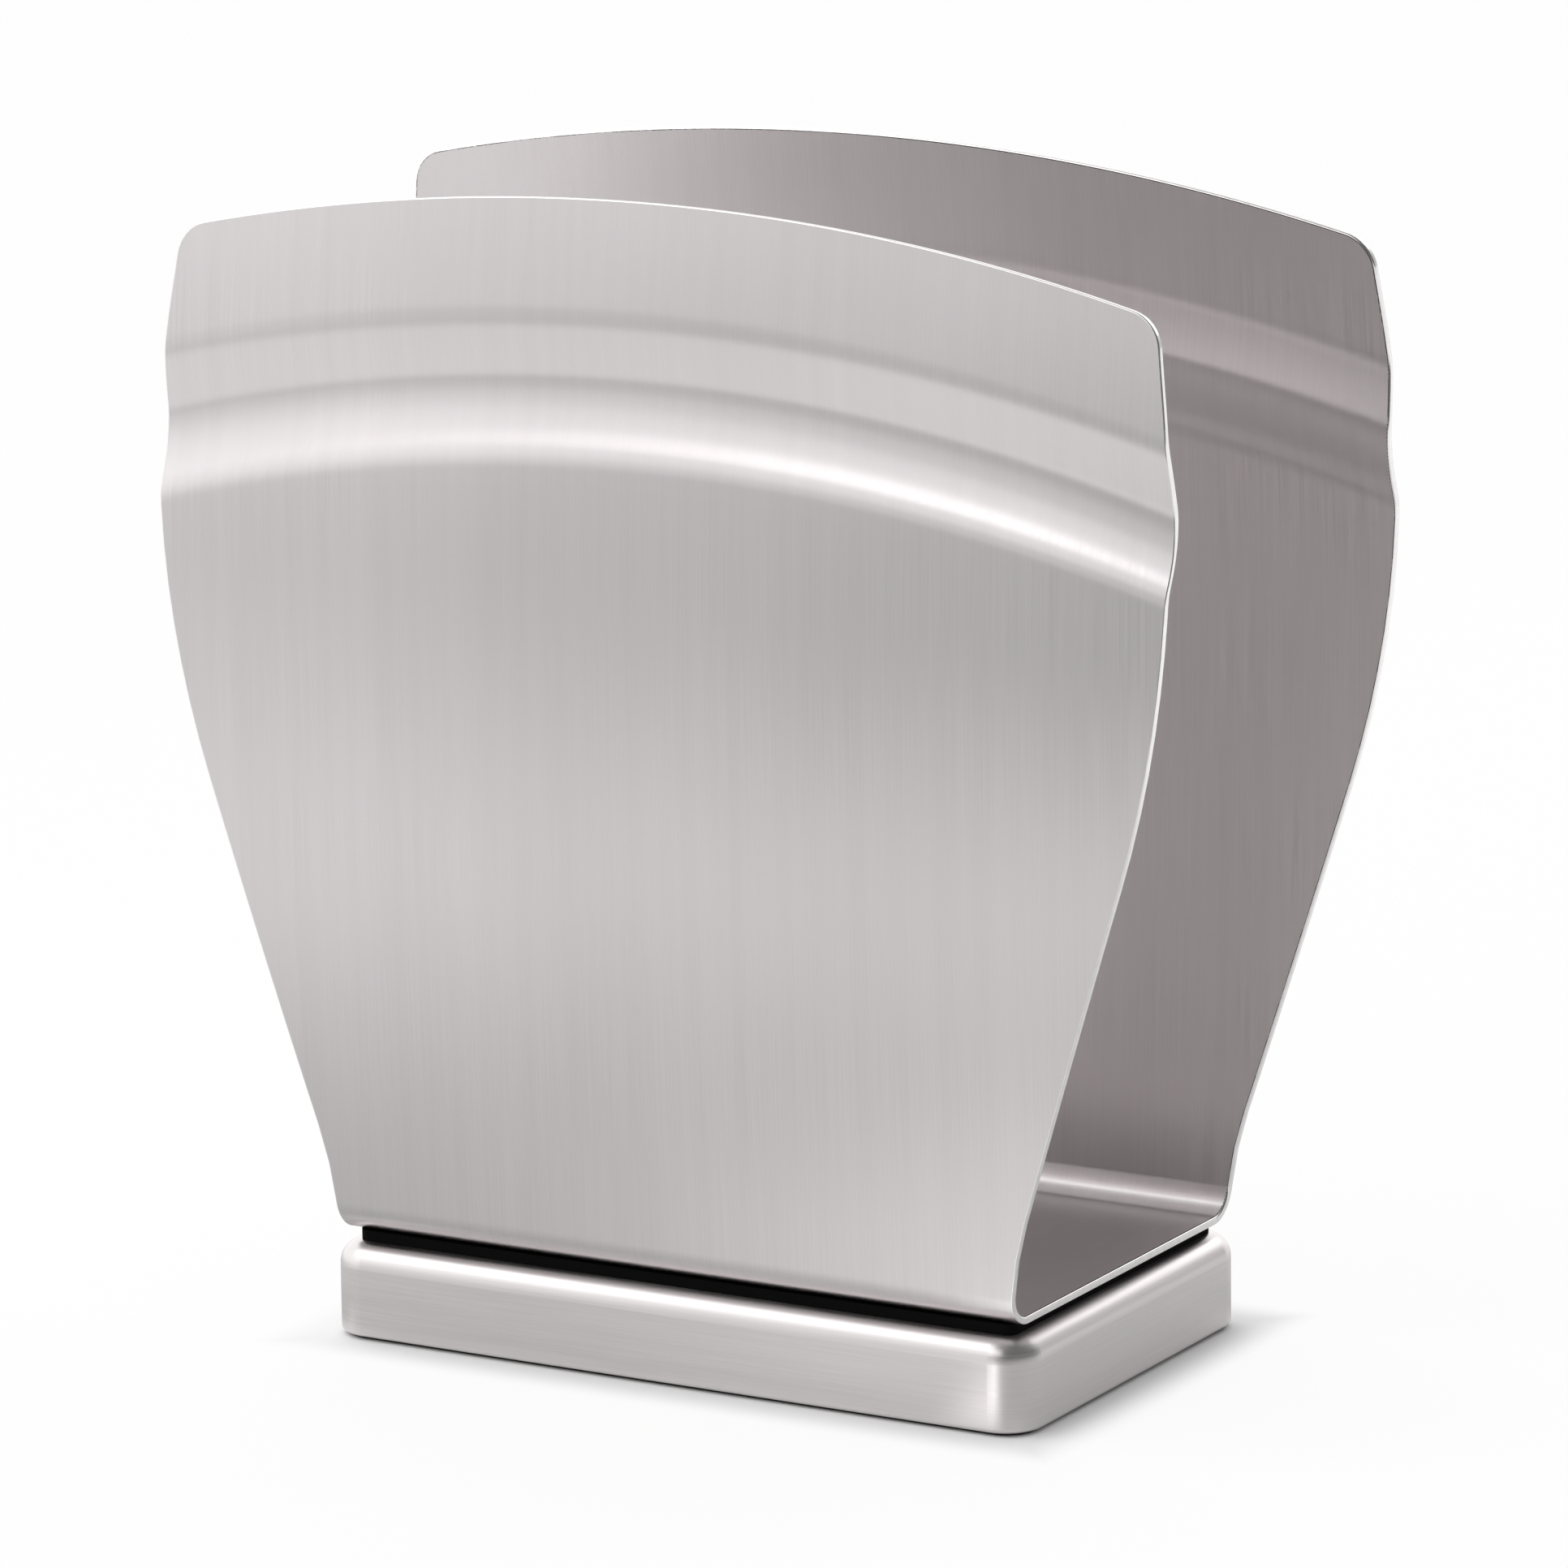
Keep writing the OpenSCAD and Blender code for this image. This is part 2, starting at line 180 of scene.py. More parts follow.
def bow_depth(level):
    """Distance of a panel's outer face from the middle of the holder, without the groove."""
    rise = np.asarray(level, float) - BELLY_LEVEL
    below = fall(LOWER_BOW, np.minimum(rise, 0))
    above = fall(UPPER_BOW, np.maximum(rise, 0))
    return HALF_DEPTH - np.where(rise < 0, below, above)


def groove_profile():
    """The groove's section as distances below the top edge and depths, from crease to crease."""
    drops = [GROOVE_DROP]
    depths = [0.0]

    def turn(radius, start, end):
        """Adds an arc from one tilt to another."""
        way = 1.0 if end > start else -1.0
        drop = drops[-1]
        depth = depths[-1]
        for angle in np.linspace(start, end, PROFILE_STEPS + 1)[1:]:
            drops.append(drop + way * radius * (math.sin(angle) - math.sin(start)))
            depths.append(depth + way * radius * (math.cos(start) - math.cos(angle)))

    def wall(tilt, rounding, way):
        """Adds a straight wall, as long as the arcs at its ends leave it."""
        length = (GROOVE_DEPTH - rounding * (1 - math.cos(tilt))) / math.sin(tilt)
        drops.append(drops[-1] + length * math.cos(tilt))
        depths.append(depths[-1] + way * length * math.sin(tilt))

    turn(UPPER_CREASE_RADIUS, 0.0, GROOVE_UPPER_TILT)
    wall(GROOVE_UPPER_TILT, UPPER_CREASE_RADIUS + UPPER_FLOOR_RADIUS, 1.0)
    turn(UPPER_FLOOR_RADIUS, GROOVE_UPPER_TILT, 0.0)
    turn(LOWER_FLOOR_RADIUS, 0.0, -GROOVE_LOWER_TILT)
    wall(GROOVE_LOWER_TILT, LOWER_CREASE_RADIUS + LOWER_FLOOR_RADIUS, -1.0)
    turn(LOWER_CREASE_RADIUS, -GROOVE_LOWER_TILT, 0.0)
    return np.array(drops), np.array(depths)


GROOVE_DROPS, GROOVE_DEPTHS = groove_profile()
CROWN_ANGLE = math.asin((CROWN_LEVEL - BELLY_LEVEL) / UPPER_BOW)


def groove_depth(x, level):
    """Depth of the groove at a place on a panel: it follows the arch of the top edge."""
    rise = np.clip((level - BELLY_LEVEL) / UPPER_BOW, -1, 1)
    below_crown = UPPER_BOW * (CROWN_ANGLE - np.arcsin(rise))
    drop = CROWN_RADIUS - np.hypot(x, CROWN_RADIUS - below_crown)
    return np.interp(drop, GROOVE_DROPS, GROOVE_DEPTHS, left=0.0, right=0.0)


def sheet_grid(outline):
    """Outer face of the bent sheet as rows of points, from the front's top edge to the rear's."""
    top = outline.top_edge()
    shares = top[:, 0] / outline.half_width(top[:, 1])
    crown = outline.crown_level(top[:, 0])
    cut = crown - top[:, 1]
    rows = []

    def panel_row(level):
        x = shares * outline.half_width(level)
        y = -(bow_depth(level) - groove_depth(x, level))
        rows.append(np.stack([x, y, np.broadcast_to(level, x.shape)], 1))

    cap_end = GROOVE_DROP - GROOVE_MARGIN
    for share in np.linspace(0, 1, CAP_STEPS + 1):
        panel_row(crown - (cut + share * (cap_end - cut)))
    groove_end = GROOVE_DROPS[-1] + GROOVE_MARGIN
    for drop in np.linspace(cap_end, groove_end, GROOVE_STEPS + 1)[1:]:
        panel_row(crown - drop)
    for share in np.linspace(0, 1, PANEL_STEPS + 1)[1:]:
        panel_row(crown - groove_end + share * (PANEL_LOW - crown + groove_end))
    for angle in np.linspace(BEND_END, -math.pi / 2, BEND_STEPS + 1)[1:]:
        level = BEND_LEVEL + BEND_OUTSIDE * math.sin(angle)
        depth = BEND_DEPTH + BEND_OUTSIDE * math.cos(angle)
        x = shares * outline.half_width(level)
        rows.append(np.stack([x, np.full_like(x, -depth), np.full_like(x, level)], 1))
    for share in np.linspace(0, 1, CRADLE_FLOOR_STEPS + 1)[1:]:
        x = shares * outline.floor_half
        y = np.full_like(x, -BEND_DEPTH * (1 - share))
        rows.append(np.stack([x, y, np.full_like(x, CRADLE_FLOOR_LEVEL)], 1))
    front = np.array(rows)
    rear = front[-2::-1] * np.array([1.0, -1.0, 1.0])
    return np.concatenate([front, rear])


def unit(vectors):
    """The vectors, brought to a length of 1."""
    return vectors / np.linalg.norm(vectors, axis=-1, keepdims=True)


def edge_profile():
    """The cut edge from outer to inner face: shift outwards, depth, and the normal's two parts."""
    points = []
    for angle in np.linspace(0, math.pi / 2, EDGE_ARC_STEPS + 1)[1:]:
        shift = EDGE_OUTSIDE * math.sin(angle)
        depth = EDGE_OUTSIDE * (1 - math.cos(angle))
        points.append((shift, depth, math.sin(angle), math.cos(angle)))
    for angle in np.linspace(0, math.pi / 2, EDGE_ARC_STEPS + 1):
        shift = EDGE_OUTSIDE - EDGE_INSIDE * (1 - math.cos(angle))
        depth = SHEET_THICKNESS - EDGE_INSIDE * (1 - math.sin(angle))
        points.append((shift, depth, math.cos(angle), -math.sin(angle)))
    return points


def edge_loop(row_count, column_count):
    """Rows and columns of the points along the cut edge, once round the sheet."""
    right = column_count - 1
    bottom = row_count - 1
    loop = [(0, column) for column in range(column_count)]
    loop += [(row, right) for row in range(1, row_count)]
    loop += [(bottom, column) for column in range(right - 1, -1, -1)]
    loop += [(row, 0) for row in range(bottom - 1, 0, -1)]
    return np.array(loop).T


def panel_faces(row_count, column_count):
    """Faces of the outer and of the inner side of the sheet."""
    side_size = row_count * column_count
    faces = []
    for row in range(row_count - 1):
        for column in range(column_count - 1):
            here = row * column_count + column
            beside = here + 1
            below = here + column_count
            opposite = below + 1
            faces.append((here, beside, opposite, below))
            faces.append((here + side_size, below + side_size, opposite + side_size, beside + side_size))
    return faces


def edge_faces(loop_index, side_size, ring_count):
    """Faces of the cut edge, ring by ring from the outer to the inner side."""
    loop_count = len(loop_index)
    rings = [loop_index]
    for ring in range(ring_count):
        rings.append(2 * side_size + ring * loop_count + np.arange(loop_count))
    rings.append(loop_index + side_size)
    faces = []
    for first, second in zip(rings[:-1], rings[1:]):
        for step in range(loop_count):
            after = (step + 1) % loop_count
            faces.append((int(first[step]), int(second[step]), int(second[after]), int(first[after])))
    return faces


def bent_sheet():
    """The cradle as one clean mesh: two faces and a rounded cut edge all round."""
    outer = sheet_grid(FanOutline(EDGE_OUTSIDE))
    row_count, column_count = outer.shape[:2]
    along = np.gradient(outer, axis=0)
    across = np.gradient(outer, axis=1)
    normal = unit(np.cross(along, across))
    inner = outer - SHEET_THICKNESS * normal
    row_steps = np.linalg.norm(np.diff(outer, axis=0), axis=2)
    run = np.concatenate([np.zeros((1, column_count)), np.cumsum(row_steps, axis=0)])
    run = run - run[row_count // 2]
    face_uv = np.stack([outer[:, :, 0], run], 2)

    loop_rows, loop_columns = edge_loop(row_count, column_count)
    edge_points = outer[loop_rows, loop_columns]
    edge_normals = normal[loop_rows, loop_columns]
    tangents = np.roll(edge_points, -1, axis=0) - np.roll(edge_points, 1, axis=0)
    outwards = unit(np.cross(edge_normals, tangents))
    if outwards[column_count // 2, 2] < 0:
        outwards = -outwards

    points = [outer.reshape(-1, 3), inner.reshape(-1, 3)]
    normals = [normal.reshape(-1, 3), -normal.reshape(-1, 3)]
    coordinates = [face_uv.reshape(-1, 2), face_uv.reshape(-1, 2)]
    rings = edge_profile()
    for shift, depth, out_part, face_part in rings:
        points.append(edge_points + shift * outwards - depth * edge_normals)
        normals.append(out_part * outwards + face_part * edge_normals)
        coordinates.append(face_uv[loop_rows, loop_columns])
    points = np.concatenate(points)
    normals = np.concatenate(normals)
    coordinates = np.concatenate(coordinates)

    faces = panel_faces(row_count, column_count)
    edges_from = len(faces)
    loop_index = loop_rows * column_count + loop_columns
    faces += edge_faces(loop_index, row_count * column_count, len(rings))

    mesh = bpy.data.meshes.new("cradle_sheet")
    mesh.from_pydata(points.tolist(), [], faces)
    if mesh.polygons[0].normal.y > 0:
        mesh.flip_normals()
    uv = mesh.uv_layers.new(name=GRAIN_MAP)
    loop_vertices = np.empty(len(mesh.loops), np.int32)
    mesh.loops.foreach_get("vertex_index", loop_vertices)
    uv.data.foreach_set("uv", coordinates[loop_vertices].astype(np.float32).ravel())
    material_index = np.zeros(len(faces), np.int32)
    material_index[edges_from:] = 1
    mesh.polygons.foreach_set("material_index", material_index)
    mesh.polygons.foreach_set("use_smooth", np.ones(len(faces), bool))
    mesh.normals_split_custom_set_from_vertices(unit(normals).tolist())
    piece = bpy.data.objects.new("cradle_sheet", mesh)
    bpy.context.scene.collection.objects.link(piece)
    return piece


# Brushed steel of the sheet: scales are waves in a metre for each axis, changes are shares of the brightness
SHEET_COLOR = (0.735, 0.70, 0.705)
SHEET_ANISOTROPY = 0.82
SHEET_ROUGHNESS = (0.29, 0.37)
SHEET_FINE_SCALE = (5200.0, 45.0, 1.0)
SHEET_FINE_CHANGE = 0.03
SHEET_STREAK_SCALE = (420.0, 6.0, 1.0)
SHEET_STREAK_CHANGE = 0.015
SHEET_CLOUD_SCALE = (28.0, 18.0, 1.0)
SHEET_CLOUD_CHANGE = 0.02

# Deburred edge of the sheet
EDGE_COLOR = (0.80, 0.78, 0.78)
EDGE_ROUGHNESS = (0.14, 0.22)
EDGE_MARK_SCALE = (900.0, 900.0, 900.0)
EDGE_MARK_CHANGE = 0.05

# Brushed steel of the base, whose lines run level, so its gloss is turned by a quarter turn
BASE_COLOR = (0.735, 0.70, 0.70)
BASE_ANISOTROPY = 0.6
BASE_GLOSS_TURN = 0.25
BASE_ROUGHNESS = (0.29, 0.36)
BASE_FINE_SCALE = (60.0, 60.0, 5200.0)
BASE_FINE_CHANGE = 0.035
BASE_STREAK_SCALE = (9.0, 9.0, 520.0)
BASE_STREAK_CHANGE = 0.02

# Relief and detail of the brushing and of the grain of the plain materials
BRUSH_HEIGHT = 0.004 * MM
BRUSH_STRENGTH = 0.5
BRUSH_DETAIL = 3.0
GRAIN_STRENGTH = 0.6
GRAIN_DETAIL = 4.0
GRAIN_CHANGE = 0.1

# Detail of a coarse noise, and the range that holds most values of any noise
COARSE_DETAIL = 2.0
NOISE_LOW = 0.3
NOISE_HIGH = 0.7


class Shader:
    """A node material with one Principled shader, and short calls to add and link nodes."""

    def __init__(self, name, **values):
        self.material = bpy.data.materials.new(name)
        self.material.use_nodes = True
        self.tree = self.material.node_tree
        self.principled = self.tree.nodes["Principled BSDF"]
        for socket, value in values.items():
            self.principled.inputs[socket.replace("_", " ")].default_value = value

    def node(self, kind, settings=None, **values):
        """Adds a node with its settings, and puts values on its sockets."""
        made = self.tree.nodes.new(kind)
        for key, value in (settings or {}).items():
            setattr(made, key, value)
        for socket, value in values.items():
            made.inputs[socket.replace("_", " ")].default_value = value
        return made

    def link(self, source, target):
        self.tree.links.new(source, target)

    def feed(self, source, socket):
        """Links an output to a socket of the Principled shader."""
        self.link(source, self.principled.inputs[socket])

    def noise(self, coordinate, scales, detail=COARSE_DETAIL):
        """Noise with a scale for each axis, from 0 to 1."""
        stretch = self.node("ShaderNodeMapping", Scale=scales)
        self.link(coordinate, stretch.inputs["Vector"])
        made = self.node("ShaderNodeTexNoise", Scale=1.0, Detail=detail)
        self.link(stretch.outputs["Vector"], made.inputs["Vector"])
        return made.outputs["Fac"]

    def spread(self, value, low, high):
        """A noise value, spread over a range."""
        made = self.node("ShaderNodeMapRange", From_Min=NOISE_LOW, From_Max=NOISE_HIGH,
                         To_Min=low, To_Max=high)
        self.link(value, made.inputs["Value"])
        return made.outputs["Result"]

    def vary(self, value, change):
        """A factor about 1, which a noise value moves up and down by a share."""
        return self.spread(value, 1 - change, 1 + change)

    def tint(self, color, factor):
        """A colour made lighter or darker by a factor."""
        made = self.node("ShaderNodeVectorMath", {"operation": "SCALE"})
        made.inputs[0].default_value = color
        self.link(factor, made.inputs["Scale"])
        return made.outputs["Vector"]

    def product(self, first, second):
        made = self.node("ShaderNodeMath", {"operation": "MULTIPLY"})
        self.link(first, made.inputs[0])
        self.link(second, made.inputs[1])
        return made.outputs["Value"]

    def along(self, place, span, share):
        """A factor that eases from a share, at the middle of the sheet's run, to 1 further out."""
        parts = self.node("ShaderNodeSeparateXYZ")
        self.link(place, parts.inputs["Vector"])
        size = self.node("ShaderNodeMath", {"operation": "ABSOLUTE"})
        self.link(parts.outputs["Y"], size.inputs[0])
        made = self.node("ShaderNodeMapRange", {"interpolation_type": "SMOOTHSTEP"},
                         From_Min=span[0], From_Max=span[1], To_Min=share, To_Max=1.0)
        self.link(size.outputs["Value"], made.inputs["Value"])
        return made.outputs["Result"]

    def bump(self, height, distance, strength):
        """Relief of a given height from a noise value."""
        made = self.node("ShaderNodeBump", Distance=distance, Strength=strength)
        self.link(height, made.inputs["Height"])
        self.feed(made.outputs["Normal"], "Normal")


def brushed_sheet():
    """Upright brushing that follows the sheet round its bends."""
    steel = Shader("brushed_sheet", Metallic=1.0, Anisotropic=SHEET_ANISOTROPY)
    place = steel.node("ShaderNodeUVMap", {"uv_map": GRAIN_MAP}).outputs["UV"]
    tangent = steel.node("ShaderNodeTangent", {"direction_type": "UV_MAP", "uv_map": GRAIN_MAP})
    steel.feed(tangent.outputs["Tangent"], "Tangent")
    fine = steel.noise(place, SHEET_FINE_SCALE, BRUSH_DETAIL)
    streak = steel.noise(place, SHEET_STREAK_SCALE)
    cloud = steel.noise(place, SHEET_CLOUD_SCALE)
    shade = steel.product(steel.vary(fine, SHEET_FINE_CHANGE), steel.vary(streak, SHEET_STREAK_CHANGE))
    shade = steel.product(shade, steel.vary(cloud, SHEET_CLOUD_CHANGE))
    # Painted shade: the floor between the bends made darker, standing in for the shade between the panels
    shade = steel.product(shade, steel.along(place, PAINTED_SHADE_INSIDE_SPAN, PAINTED_SHADE_INSIDE_SHARE))
    steel.feed(steel.tint(SHEET_COLOR, shade), "Base Color")
    steel.feed(steel.spread(fine, *SHEET_ROUGHNESS), "Roughness")
    steel.bump(fine, BRUSH_HEIGHT, BRUSH_STRENGTH)
    return steel.material


def cut_edge():
    """Deburred edge of the sheet: bright and evenly satin, with fine drag marks."""
    steel = Shader("cut_edge", Metallic=1.0)
    place = steel.node("ShaderNodeTexCoord").outputs["Object"]
    marks = steel.noise(place, EDGE_MARK_SCALE, BRUSH_DETAIL)
    steel.feed(steel.tint(EDGE_COLOR, steel.vary(marks, EDGE_MARK_CHANGE)), "Base Color")
    steel.feed(steel.spread(marks, *EDGE_ROUGHNESS), "Roughness")
    return steel.material


def brushed_base():
    """Level brushing round the sides of the base."""
    steel = Shader("brushed_base", Metallic=1.0, Anisotropic=BASE_ANISOTROPY,
                   Anisotropic_Rotation=BASE_GLOSS_TURN)
    place = steel.node("ShaderNodeTexCoord").outputs["Object"]
    tangent = steel.node("ShaderNodeTangent", {"direction_type": "RADIAL", "axis": "Z"})
    steel.feed(tangent.outputs["Tangent"], "Tangent")
    fine = steel.noise(place, BASE_FINE_SCALE, BRUSH_DETAIL)
    streak = steel.noise(place, BASE_STREAK_SCALE)
    shade = steel.product(steel.vary(fine, BASE_FINE_CHANGE), steel.vary(streak, BASE_STREAK_CHANGE))
    steel.feed(steel.tint(BASE_COLOR, shade), "Base Color")
    steel.feed(steel.spread(fine, *BASE_ROUGHNESS), "Roughness")
    steel.bump(fine, BRUSH_HEIGHT, BRUSH_STRENGTH)
    return steel.material


def grained(name, color, roughness, grain_size, grain_height, metallic=0.0, gloss=0.5):
    """Plain material with a fine grain of one size."""
    made = Shader(name, Metallic=metallic, Specular_IOR_Level=gloss)
    place = made.node("ShaderNodeTexCoord").outputs["Object"]
    frequency = 1.0 / grain_size
    grain = made.noise(place, (frequency, frequency, frequency), GRAIN_DETAIL)
    made.feed(made.tint(color, made.vary(grain, GRAIN_CHANGE)), "Base Color")
    roughness_low = roughness * (1 - GRAIN_CHANGE)
    roughness_high = roughness * (1 + GRAIN_CHANGE)
    made.feed(made.spread(grain, roughness_low, roughness_high), "Roughness")
    made.bump(grain, grain_height, GRAIN_STRENGTH)
    return made.material


def dress(node, material):
    """Gives a carried-over solid its material."""
    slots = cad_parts[node].data.materials
    slots.clear()
    slots.append(material)


cradle = bent_sheet()
cradle.data.materials.append(brushed_sheet())
cradle.data.materials.append(cut_edge())
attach(cradle, "root")
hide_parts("cradle")

plated = grained("zinc_plating", color=(0.52, 0.53, 0.56), roughness=0.4,
                 grain_size=0.4 * MM, grain_height=0.004 * MM, metallic=1.0)
plastic = grained("black_plastic", color=(0.003, 0.003, 0.003), roughness=0.8,
                  grain_size=0.3 * MM, grain_height=0.01 * MM, gloss=0.06)
rubber = grained("black_rubber", color=(0.02, 0.02, 0.02), roughness=0.8,
                 grain_size=0.35 * MM, grain_height=0.02 * MM)
iron = grained("cast_iron", color=(0.07, 0.07, 0.075), roughness=0.65,
               grain_size=0.8 * MM, grain_height=0.05 * MM, metallic=0.6)
dress("base_shell", brushed_base())
dress("spacer", plastic)
dress("bottom_pad", rubber)
dress("ballast_block", iron)
for fastener in ("weld_studs", "flat_washers", "spring_washers", "hex_nuts"):
    dress(fastener, plated)

# Plain studio, in metres: a pale floor, a soft surround that is brighter on the left, and soft lamps
ORIGIN = (0.0, 0.0, 0.0)
UPWARDS = (0.0, 0.0, 1.0)
WHITE = (1.0, 1.0, 1.0, 1.0)
FLOOR_SIDE = 12.0
FLOOR_SINK = 0.05 * MM
FLOOR_ALBEDO = 0.86

# Share of the floor's look that is its own glow: none at the foot of the base, where the shadow shows
FLOOR_GLOW_SHARE = 0.9
FLOOR_CLEAR_SHARE = 0.0
FLOOR_CLEAR_SPAN = (0.0, 0.008)

# Painted shade: the floor as the metal mirrors it is greyer near a point before the object than far off,
# standing in for the shade round the object
FLOOR_PAINTED_SHADE_CENTRE = (0.0, -0.045, 0.0)
FLOOR_PAINTED_SHADE_SPAN = (0.07, 0.30)
FLOOR_NEAR_GLOW = 0.62
FLOOR_FAR_GLOW = 1.13

# Painted shade: the mirrored floor is greyer again towards the front, within a wedge round one way and from
# some distance on
FLOOR_FRONT_WAY = (0.14, -0.99, 0.0)
FLOOR_FRONT_SPREAD = (0.65, 0.98)
FLOOR_FRONT_START = (0.22, 0.42)
FLOOR_FRONT_DIM_SHARE = 0.9

# Painted shadow: the mirrored floor is greyer again close to the base, standing in for its shadow there
FLOOR_CONTACT_SPAN = (0.0, 0.03)
FLOOR_CONTACT_SHARE = 0.76

# Two soft pools of light on it: the middle, the reach along each axis, and the glow added at the middle
FLOOR_POOLS = (
    ((0.025, -0.105, 0.0), (0.075, 0.10, 1.0), 0.40),
    ((0.0425, -0.055, 0.0), (0.011, 0.04, 1.0), 1.5),
)

# The surround from right to left: as light on matt surfaces, and as the metal mirrors it, dimmer overhead
WORLD_LEFT_WAY = (-0.92, 0.39, 0.0)
WORLD_SPREAD = (-0.6, 0.5)
WORLD_FILL_RIGHT = 0.45
WORLD_FILL_LEFT = 1.5
WORLD_RIGHT = 0.16
WORLD_LEFT = 1.24
WORLD_TOP = (0.8, 1.0)
WORLD_TOP_SHARE = 0.45

# What the lamps point at, and how far off most of them stand
LAMP_TARGET = Vector((0.0, 0.0, 0.08))
LAMP_DISTANCE = 0.6

# The base's upper right rear corner, which gives its half width and half depth
BASE_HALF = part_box("base_shell")[1]


class Light:
    """Short calls to add and link nodes of a floor or a world."""

    def __init__(self, tree, is_world):
        self.tree = tree
        self.is_world = is_world

    def node(self, kind, **settings):
        made = self.tree.nodes.new(kind)
        for key, value in settings.items():
            setattr(made, key, value)
        return made

    def put(self, value, socket):
        """Links an output, or sets a plain value."""
        if isinstance(value, bpy.types.NodeSocket):
            self.tree.links.new(value, socket)
        else:
            socket.default_value = value

    def math(self, operation, first, second):
        made = self.node("ShaderNodeMath", operation=operation)
        self.put(first, made.inputs[0])
        self.put(second, made.inputs[1])
        return made.outputs["Value"]

    def place(self):
        """The direction that a ray leaves in for a world, and the place on the ground for a floor."""
        return self.node("ShaderNodeTexCoord").outputs["Generated" if self.is_world else "Object"]

    def vector(self, operation, first, second=ORIGIN, output="Value"):
        made = self.node("ShaderNodeVectorMath", operation=operation)
        self.put(first, made.inputs[0])
        self.put(second, made.inputs[1])
        return made.outputs[output]

    def ease(self, value, span, low, high):
        """Smooth change from one value to another over a span."""
        made = self.node("ShaderNodeMapRange", interpolation_type="SMOOTHSTEP")
        self.put(value, made.inputs["Value"])
        self.put(span[0], made.inputs["From Min"])
        self.put(span[1], made.inputs["From Max"])
        self.put(low, made.inputs["To Min"])
        self.put(high, made.inputs["To Max"])
        return made.outputs["Result"]

    def mix(self, share, first, second):
        made = self.node("ShaderNodeMix")
        self.put(share, made.inputs["Factor"])
        self.put(first, made.inputs["A"])
        self.put(second, made.inputs["B"])
        return made.outputs["Result"]


def floor_plane():
    """The floor's one face, just below the pad."""
    half = FLOOR_SIDE / 2
    corners = [(-half, -half, -FLOOR_SINK), (half, -half, -FLOOR_SINK),
               (half, half, -FLOOR_SINK), (-half, half, -FLOOR_SINK)]
    mesh = bpy.data.meshes.new("floor")
    mesh.from_pydata(corners, [], [(0, 1, 2, 3)])
    floor = bpy.data.objects.new("floor", mesh)
    bpy.context.scene.collection.objects.link(floor)
    return floor


def base_gap(light, place):
    """Distance of a place on the ground from the sides of the base."""
    spread = light.vector("ABSOLUTE", place, output="Vector")
    outside = light.vector("SUBTRACT", spread, BASE_HALF, "Vector")
    sides = light.node("ShaderNodeSeparateXYZ")
    light.put(outside, sides.inputs["Vector"])
    return light.math("MAXIMUM", sides.outputs["X"], sides.outputs["Y"])


def mirrored_floor(light, place, gap):
    """Glow of the floor as the metal mirrors it, with painted shade, a painted shadow at the base's foot and
    painted pools of light.
    """
    distance = light.vector("DISTANCE", place, ORIGIN)
    # Painted shade: the mirrored floor greyer near the object
    shade_distance = light.vector("DISTANCE", place, FLOOR_PAINTED_SHADE_CENTRE)
    reflected = light.ease(shade_distance, FLOOR_PAINTED_SHADE_SPAN, FLOOR_NEAR_GLOW, FLOOR_FAR_GLOW)
    # Painted shade: the mirrored floor greyer towards the front
    way = light.vector("NORMALIZE", place, output="Vector")
    front = light.ease(light.vector("DOT_PRODUCT", way, FLOOR_FRONT_WAY), FLOOR_FRONT_SPREAD, 0.0, 1.0)
    start = light.ease(distance, FLOOR_FRONT_START, 0.0, FLOOR_FRONT_DIM_SHARE)
    dim = light.math("SUBTRACT", 1.0, light.math("MULTIPLY", front, start))
    reflected = light.math("MULTIPLY", reflected, dim)
    # Painted shadow at the base's foot, in the mirrored floor
    contact = light.ease(gap, FLOOR_CONTACT_SPAN, FLOOR_CONTACT_SHARE, 1.0)
    reflected = light.math("MULTIPLY", reflected, contact)
    for middle, reach, pool_glow in FLOOR_POOLS:
        offset = light.vector("SUBTRACT", place, middle, "Vector")
        pool = light.vector("LENGTH", light.vector("DIVIDE", offset, reach, "Vector"))
        reflected = light.math("ADD", reflected, light.ease(pool, (0.0, 1.0), pool_glow, 0.0))
    return reflected


def make_floor():
    """Pale floor: white to the camera, with the object's shadow at its foot."""
    floor = floor_plane()
    material = bpy.data.materials.new("pale_floor")
    material.use_nodes = True
    material.node_tree.nodes.clear()
    light = Light(material.node_tree, is_world=False)
    rays = light.node("ShaderNodeLightPath").outputs
    matt = light.node("ShaderNodeBsdfDiffuse")
    matt.inputs["Color"].default_value = (FLOOR_ALBEDO, FLOOR_ALBEDO, FLOOR_ALBEDO, 1.0)
    place = light.place()
    gap = base_gap(light, place)
    reflected = mirrored_floor(light, place, gap)
    glow = light.node("ShaderNodeEmission")
    light.put(light.mix(rays["Is Camera Ray"], reflected, 1.0), glow.inputs["Strength"])
    shown = light.math("MAXIMUM", rays["Is Glossy Ray"], rays["Is Transmission Ray"])
    shown = light.math("MAXIMUM", rays["Is Camera Ray"], shown)
    mix = light.node("ShaderNodeMixShader")
    share = light.ease(gap, FLOOR_CLEAR_SPAN, FLOOR_CLEAR_SHARE, FLOOR_GLOW_SHARE)
    light.put(light.math("MULTIPLY", shown, share), mix.inputs["Fac"])
    light.put(matt.outputs["BSDF"], mix.inputs[1])
    light.put(glow.outputs["Emission"], mix.inputs[2])
    output = light.node("ShaderNodeOutputMaterial")
    light.put(mix.outputs["Shader"], output.inputs["Surface"])
    floor.data.materials.append(material)


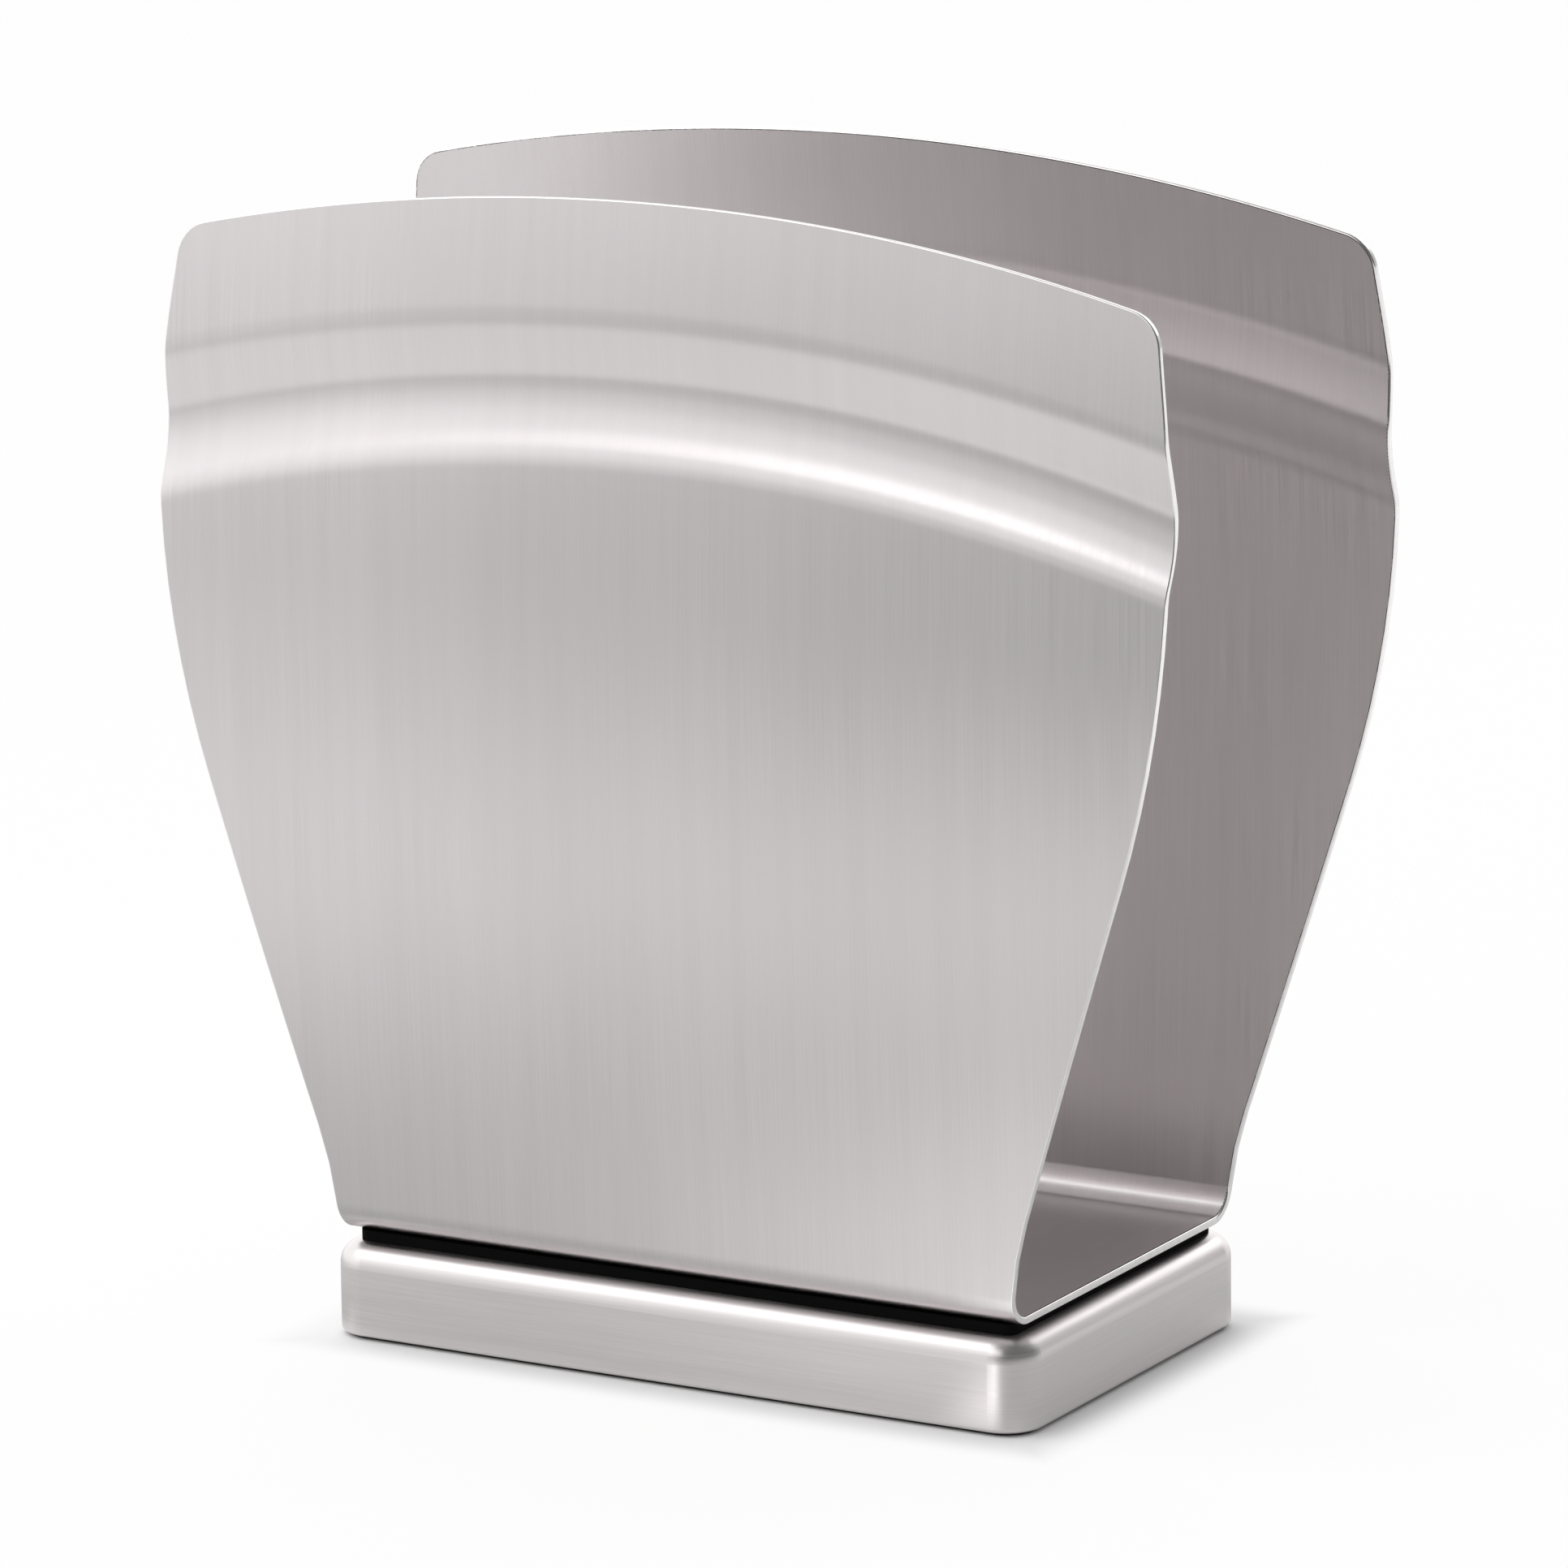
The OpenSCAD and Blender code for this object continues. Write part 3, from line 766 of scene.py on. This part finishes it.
def make_world():
    """Surround: white to the camera, brighter on the left for the object."""
    world = bpy.data.worlds.new("studio")
    bpy.context.scene.world = world
    world.use_nodes = True
    light = Light(world.node_tree, is_world=True)
    rays = light.node("ShaderNodeLightPath").outputs
    way = light.place()
    side = light.vector("DOT_PRODUCT", way, WORLD_LEFT_WAY)
    surround = light.ease(side, WORLD_SPREAD, WORLD_RIGHT, WORLD_LEFT)
    top = light.ease(light.vector("DOT_PRODUCT", way, UPWARDS), WORLD_TOP, 1.0, WORLD_TOP_SHARE)
    surround = light.math("MULTIPLY", surround, top)
    shown = light.math("MAXIMUM", rays["Is Glossy Ray"], rays["Is Transmission Ray"])
    fill = light.ease(side, WORLD_SPREAD, WORLD_FILL_RIGHT, WORLD_FILL_LEFT)
    strength = light.mix(shown, fill, surround)
    strength = light.mix(rays["Is Camera Ray"], strength, 1.0)
    background = world.node_tree.nodes["Background"]
    background.inputs["Color"].default_value = WHITE
    light.put(strength, background.inputs["Strength"])


def direction(azimuth, elevation):
    """The way from the object to a lamp or camera: azimuth 0 is straight in front, 90 is to the right."""
    turn = math.radians(azimuth)
    lift = math.radians(elevation)
    return Vector((math.sin(turn) * math.cos(lift), -math.cos(turn) * math.cos(lift), math.sin(lift)))


def make_lamp(name, azimuth, elevation, size, power, distance=LAMP_DISTANCE):
    """Soft rectangular lamp, which the camera doesn't see."""
    back = direction(azimuth, elevation)
    lamp = bpy.data.lights.new(name, "AREA")
    lamp.shape = "RECTANGLE"
    lamp.size, lamp.size_y = size
    lamp.energy = power
    holder = bpy.data.objects.new(name, lamp)
    holder.location = LAMP_TARGET + distance * back
    holder.rotation_euler = (-back).to_track_quat("-Z", "Y").to_euler()
    holder.visible_camera = False
    bpy.context.scene.collection.objects.link(holder)


def make_camera():
    """Camera at the photograph's viewing angle."""
    back = direction(CAMERA_AZIMUTH, CAMERA_ELEVATION)
    camera = bpy.data.cameras.new("camera")
    camera.sensor_width = SENSOR_WIDTH
    camera.lens = CAMERA_FOCAL / PHOTO_SIDE * SENSOR_WIDTH
    camera.clip_start, camera.clip_end = CAMERA_CLIP
    holder = bpy.data.objects.new("camera", camera)
    roll = Matrix.Rotation(math.radians(CAMERA_ROLL), 3, "Z")
    aim = (-back).to_track_quat("-Z", "Y").to_matrix() @ roll
    holder.matrix_world = Matrix.Translation(CAMERA_PLACE) @ aim.to_4x4()
    bpy.context.scene.collection.objects.link(holder)
    bpy.context.scene.camera = holder


make_floor()
make_world()
make_lamp("key", azimuth=-56.0, elevation=49.0, size=(0.40, 0.30), power=0.42)
make_lamp("left", azimuth=-45.0, elevation=13.7, size=(0.09, 0.11), power=0.0075, distance=0.233)
make_lamp("front", azimuth=-4.0, elevation=27.0, size=(0.36, 0.26), power=0.16)
make_lamp("high_front", azimuth=-4.0, elevation=37.0, size=(0.40, 0.10), power=0.16)
make_lamp("back", azimuth=164.0, elevation=28.0, size=(0.30, 0.22), power=0.20)
make_camera()
bpy.context.scene.view_settings.view_transform = "Standard"
